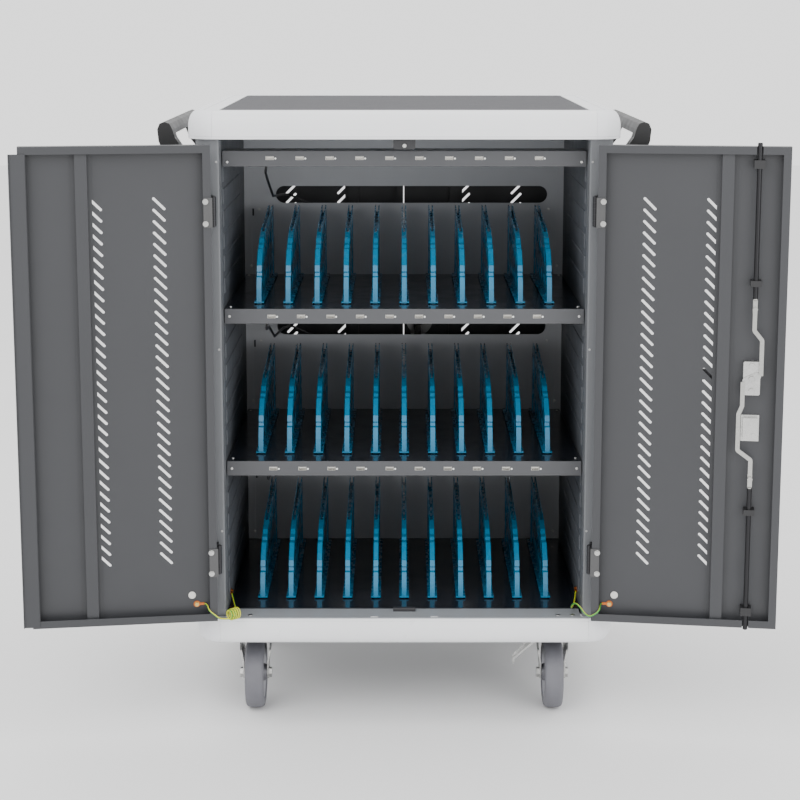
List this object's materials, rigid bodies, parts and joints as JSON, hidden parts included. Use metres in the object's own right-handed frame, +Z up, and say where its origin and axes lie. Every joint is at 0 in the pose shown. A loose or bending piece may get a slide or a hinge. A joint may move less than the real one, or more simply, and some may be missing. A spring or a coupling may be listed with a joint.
{
  "type": "mobile charging cabinet",
  "caption": "Wheeled steel cabinet that stores and charges tablets in upright bays, with hinged double doors front and rear, push handles and swivel castors.",
  "frame": {"origin": "on the floor under the middle of the whole outline, front doors standing open", "axes": "+Z up, +Y from the front to the rear, +X to the right seen from the front"},
  "size_m": [1.281, 0.7428, 1.076],
  "materials": {
    "silver_paint": "satin",
    "silver_plastic": "satin",
    "mat_rubber": "fine grain",
    "dark_paint": "powder coat",
    "sill_paint": "satin",
    "black_gloss": "gloss",
    "post_paint": "satin",
    "grey_paint": "powder coat",
    "strip_paint": "powder coat",
    "socket_steel": "plated",
    "lamp_white": "translucent",
    "module_plastic": "moulded",
    "blue_plastic": "gloss",
    "black_plastic": "moulded",
    "zinc": "zinc plated",
    "grey_metal": "satin",
    "cable_black": "satin",
    "door_paint": "powder coat",
    "hinge_black": "satin",
    "lever_metal": "satin",
    "chrome_key": "polished",
    "rod_steel": "blackened",
    "earth_lead": "satin",
    "wheel_rubber": "moulded"
  },
  "bodies": {
    "cabinet": {"back_partition": "grey_paint", "base_pan": "dark_paint", "bumper_corner_caps": "silver_plastic", "bumper_rails": "silver_paint", "castor_plates": "zinc", "corner_posts": "post_paint", "dividers_lower": "blue_plastic", "dividers_middle": "blue_plastic", "dividers_upper": "blue_plastic", "door_keepers": "module_plastic", "floor_panel": "black_gloss", "frame_hinges": "hinge_black", "frame_screws": "zinc", "front_sill": "sill_paint", "hub_modules": "module_plastic", "left_earth_coil": "earth_lead", "left_earth_lead": "earth_lead", "left_handle": "black_plastic", "left_inner_wall": "dark_paint", "left_side_panel": "grey_paint", "mains_inlet": "module_plastic", "middle_shelf": "strip_paint", "power_supply": "grey_metal", "right_earth_lead": "earth_lead", "right_handle": "black_plastic", "right_inner_wall": "dark_paint", "right_side_panel": "grey_paint", "shelf_mats": "black_gloss", "status_lamps": "lamp_white", "top_mat": "mat_rubber", "top_panel": "silver_paint", "top_port_rail": "strip_paint", "trunk_leads": "cable_black", "upper_shelf": "strip_paint", "usb_sockets": "socket_steel"},
    "front_left_leaf": {"left_door_panel": "door_paint", "left_door_stiffeners": "door_paint", "left_door_fittings": "zinc"},
    "front_right_leaf": {"right_door_panel": "door_paint", "right_door_stiffener": "door_paint", "right_door_fittings": "zinc", "lock_case": "zinc"},
    "lock_handle": {"lock_lever": "lever_metal"},
    "key_cylinder": {"key_plug": "chrome_key"},
    "upper_rod": {"upper_lock_rod": "rod_steel"},
    "lower_rod": {"lower_lock_rod": "rod_steel"},
    "rear_left_leaf": {"rear_left_door": "door_paint"},
    "rear_right_leaf": {"rear_right_door": "door_paint"},
    "rear_cam_lock": {"rear_lock": "chrome_key"},
    "switch_rocker": {"power_rocker": "black_plastic"},
    "swivel_fl": {"castor_fork_fl": "zinc"},
    "wheel_fl": {"castor_wheel_fl": "wheel_rubber"},
    "swivel_fr": {"castor_fork_fr": "zinc"},
    "wheel_fr": {"castor_wheel_fr": "wheel_rubber"},
    "swivel_rl": {"castor_fork_rl": "zinc"},
    "wheel_rl": {"castor_wheel_rl": "wheel_rubber"},
    "swivel_rr": {"castor_fork_rr": "zinc"},
    "wheel_rr": {"castor_wheel_rr": "wheel_rubber"},
    "pedal_fr": {"brake_pedal_fr": "zinc"},
    "pedal_rr": {"brake_pedal_rr": "zinc"}
  },
  "joints": [
    {"name": "front_left_door_hinge", "type": "hinge", "parent": "cabinet", "child": "front_left_leaf", "pos_m": [-0.31329, -0.30063, 0.61], "axis": [0, 0, -1], "range_deg": [-172, 8], "deforming": ["left_earth_lead", "left_earth_coil"]},
    {"name": "front_right_door_hinge", "type": "hinge", "parent": "cabinet", "child": "front_right_leaf", "pos_m": [0.32531, -0.30063, 0.61], "axis": [0, 0, 1], "range_deg": [-172, 8], "deforming": ["right_earth_lead"]},
    {"name": "rear_left_door_hinge", "type": "hinge", "parent": "cabinet", "child": "rear_left_leaf", "pos_m": [-0.31329, 0.36537, 0.61], "axis": [0, 0, 1], "range_deg": [0, 180]},
    {"name": "rear_right_door_hinge", "type": "hinge", "parent": "cabinet", "child": "rear_right_leaf", "pos_m": [0.32531, 0.36537, 0.61], "axis": [0, 0, -1], "range_deg": [0, 180]},
    {"name": "lock_handle_turn", "type": "hinge", "parent": "front_right_leaf", "child": "lock_handle", "pos_m": [0.58774, -0.33751, 0.6345], "axis": [0.1392, 0.9903, 0], "range_deg": [0, 90]},
    {"name": "key_turn", "type": "hinge", "parent": "front_right_leaf", "child": "key_cylinder", "pos_m": [0.58774, -0.33751, 0.547], "axis": [0.1392, 0.9903, 0], "range_deg": [0, 90]},
    {"name": "upper_rod_slide", "type": "slide", "parent": "front_right_leaf", "child": "upper_rod", "axis": [0, 0, 1], "range_m": [0, 0.0142]},
    {"name": "lower_rod_slide", "type": "slide", "parent": "front_right_leaf", "child": "lower_rod", "axis": [0, 0, -1], "range_m": [0, 0.0142]},
    {"name": "rear_lock_turn", "type": "hinge", "parent": "rear_right_leaf", "child": "rear_cam_lock", "pos_m": [0.03431, 0.36537, 0.613], "axis": [0, 1, 0], "range_deg": [0, 90]},
    {"name": "power_switch", "type": "hinge", "parent": "cabinet", "child": "switch_rocker", "pos_m": [0.35561, 0.16437, 0.262], "axis": [0, 1, 0], "range_deg": [-8, 8]},
    {"name": "castor_fl_swivel", "type": "hinge", "parent": "cabinet", "child": "swivel_fl", "pos_m": [-0.26099, -0.15863, 0.145], "axis": [0, 0, 1], "continuous": true},
    {"name": "castor_fl_roll", "type": "hinge", "parent": "swivel_fl", "child": "wheel_fl", "pos_m": [-0.26099, -0.19263, 0.0625], "axis": [1, 0, 0], "continuous": true},
    {"name": "castor_fr_swivel", "type": "hinge", "parent": "cabinet", "child": "swivel_fr", "pos_m": [0.27301, -0.15863, 0.145], "axis": [0, 0, 1], "continuous": true},
    {"name": "castor_fr_roll", "type": "hinge", "parent": "swivel_fr", "child": "wheel_fr", "pos_m": [0.27301, -0.19263, 0.0625], "axis": [1, 0, 0], "continuous": true},
    {"name": "castor_rl_swivel", "type": "hinge", "parent": "cabinet", "child": "swivel_rl", "pos_m": [-0.26099, 0.22337, 0.145], "axis": [0, 0, 1], "continuous": true},
    {"name": "castor_rl_roll", "type": "hinge", "parent": "swivel_rl", "child": "wheel_rl", "pos_m": [-0.26099, 0.18937, 0.0625], "axis": [1, 0, 0], "continuous": true},
    {"name": "castor_rr_swivel", "type": "hinge", "parent": "cabinet", "child": "swivel_rr", "pos_m": [0.27301, 0.22337, 0.145], "axis": [0, 0, 1], "continuous": true},
    {"name": "castor_rr_roll", "type": "hinge", "parent": "swivel_rr", "child": "wheel_rr", "pos_m": [0.27301, 0.18937, 0.0625], "axis": [1, 0, 0], "continuous": true},
    {"name": "brake_fr", "type": "hinge", "parent": "swivel_fr", "child": "pedal_fr", "pos_m": [0.24351, -0.16163, 0.114], "axis": [0, -1, 0], "range_deg": [0, 12]},
    {"name": "brake_rr", "type": "hinge", "parent": "swivel_rr", "child": "pedal_rr", "pos_m": [0.24351, 0.22037, 0.114], "axis": [0, -1, 0], "range_deg": [0, 12]}
  ],
  "couplings": [
    {"joint": "upper_rod_slide", "follows": "lock_handle_turn", "m_per_rad": 0.0089},
    {"joint": "lower_rod_slide", "follows": "lock_handle_turn", "m_per_rad": 0.0089}
  ]
}
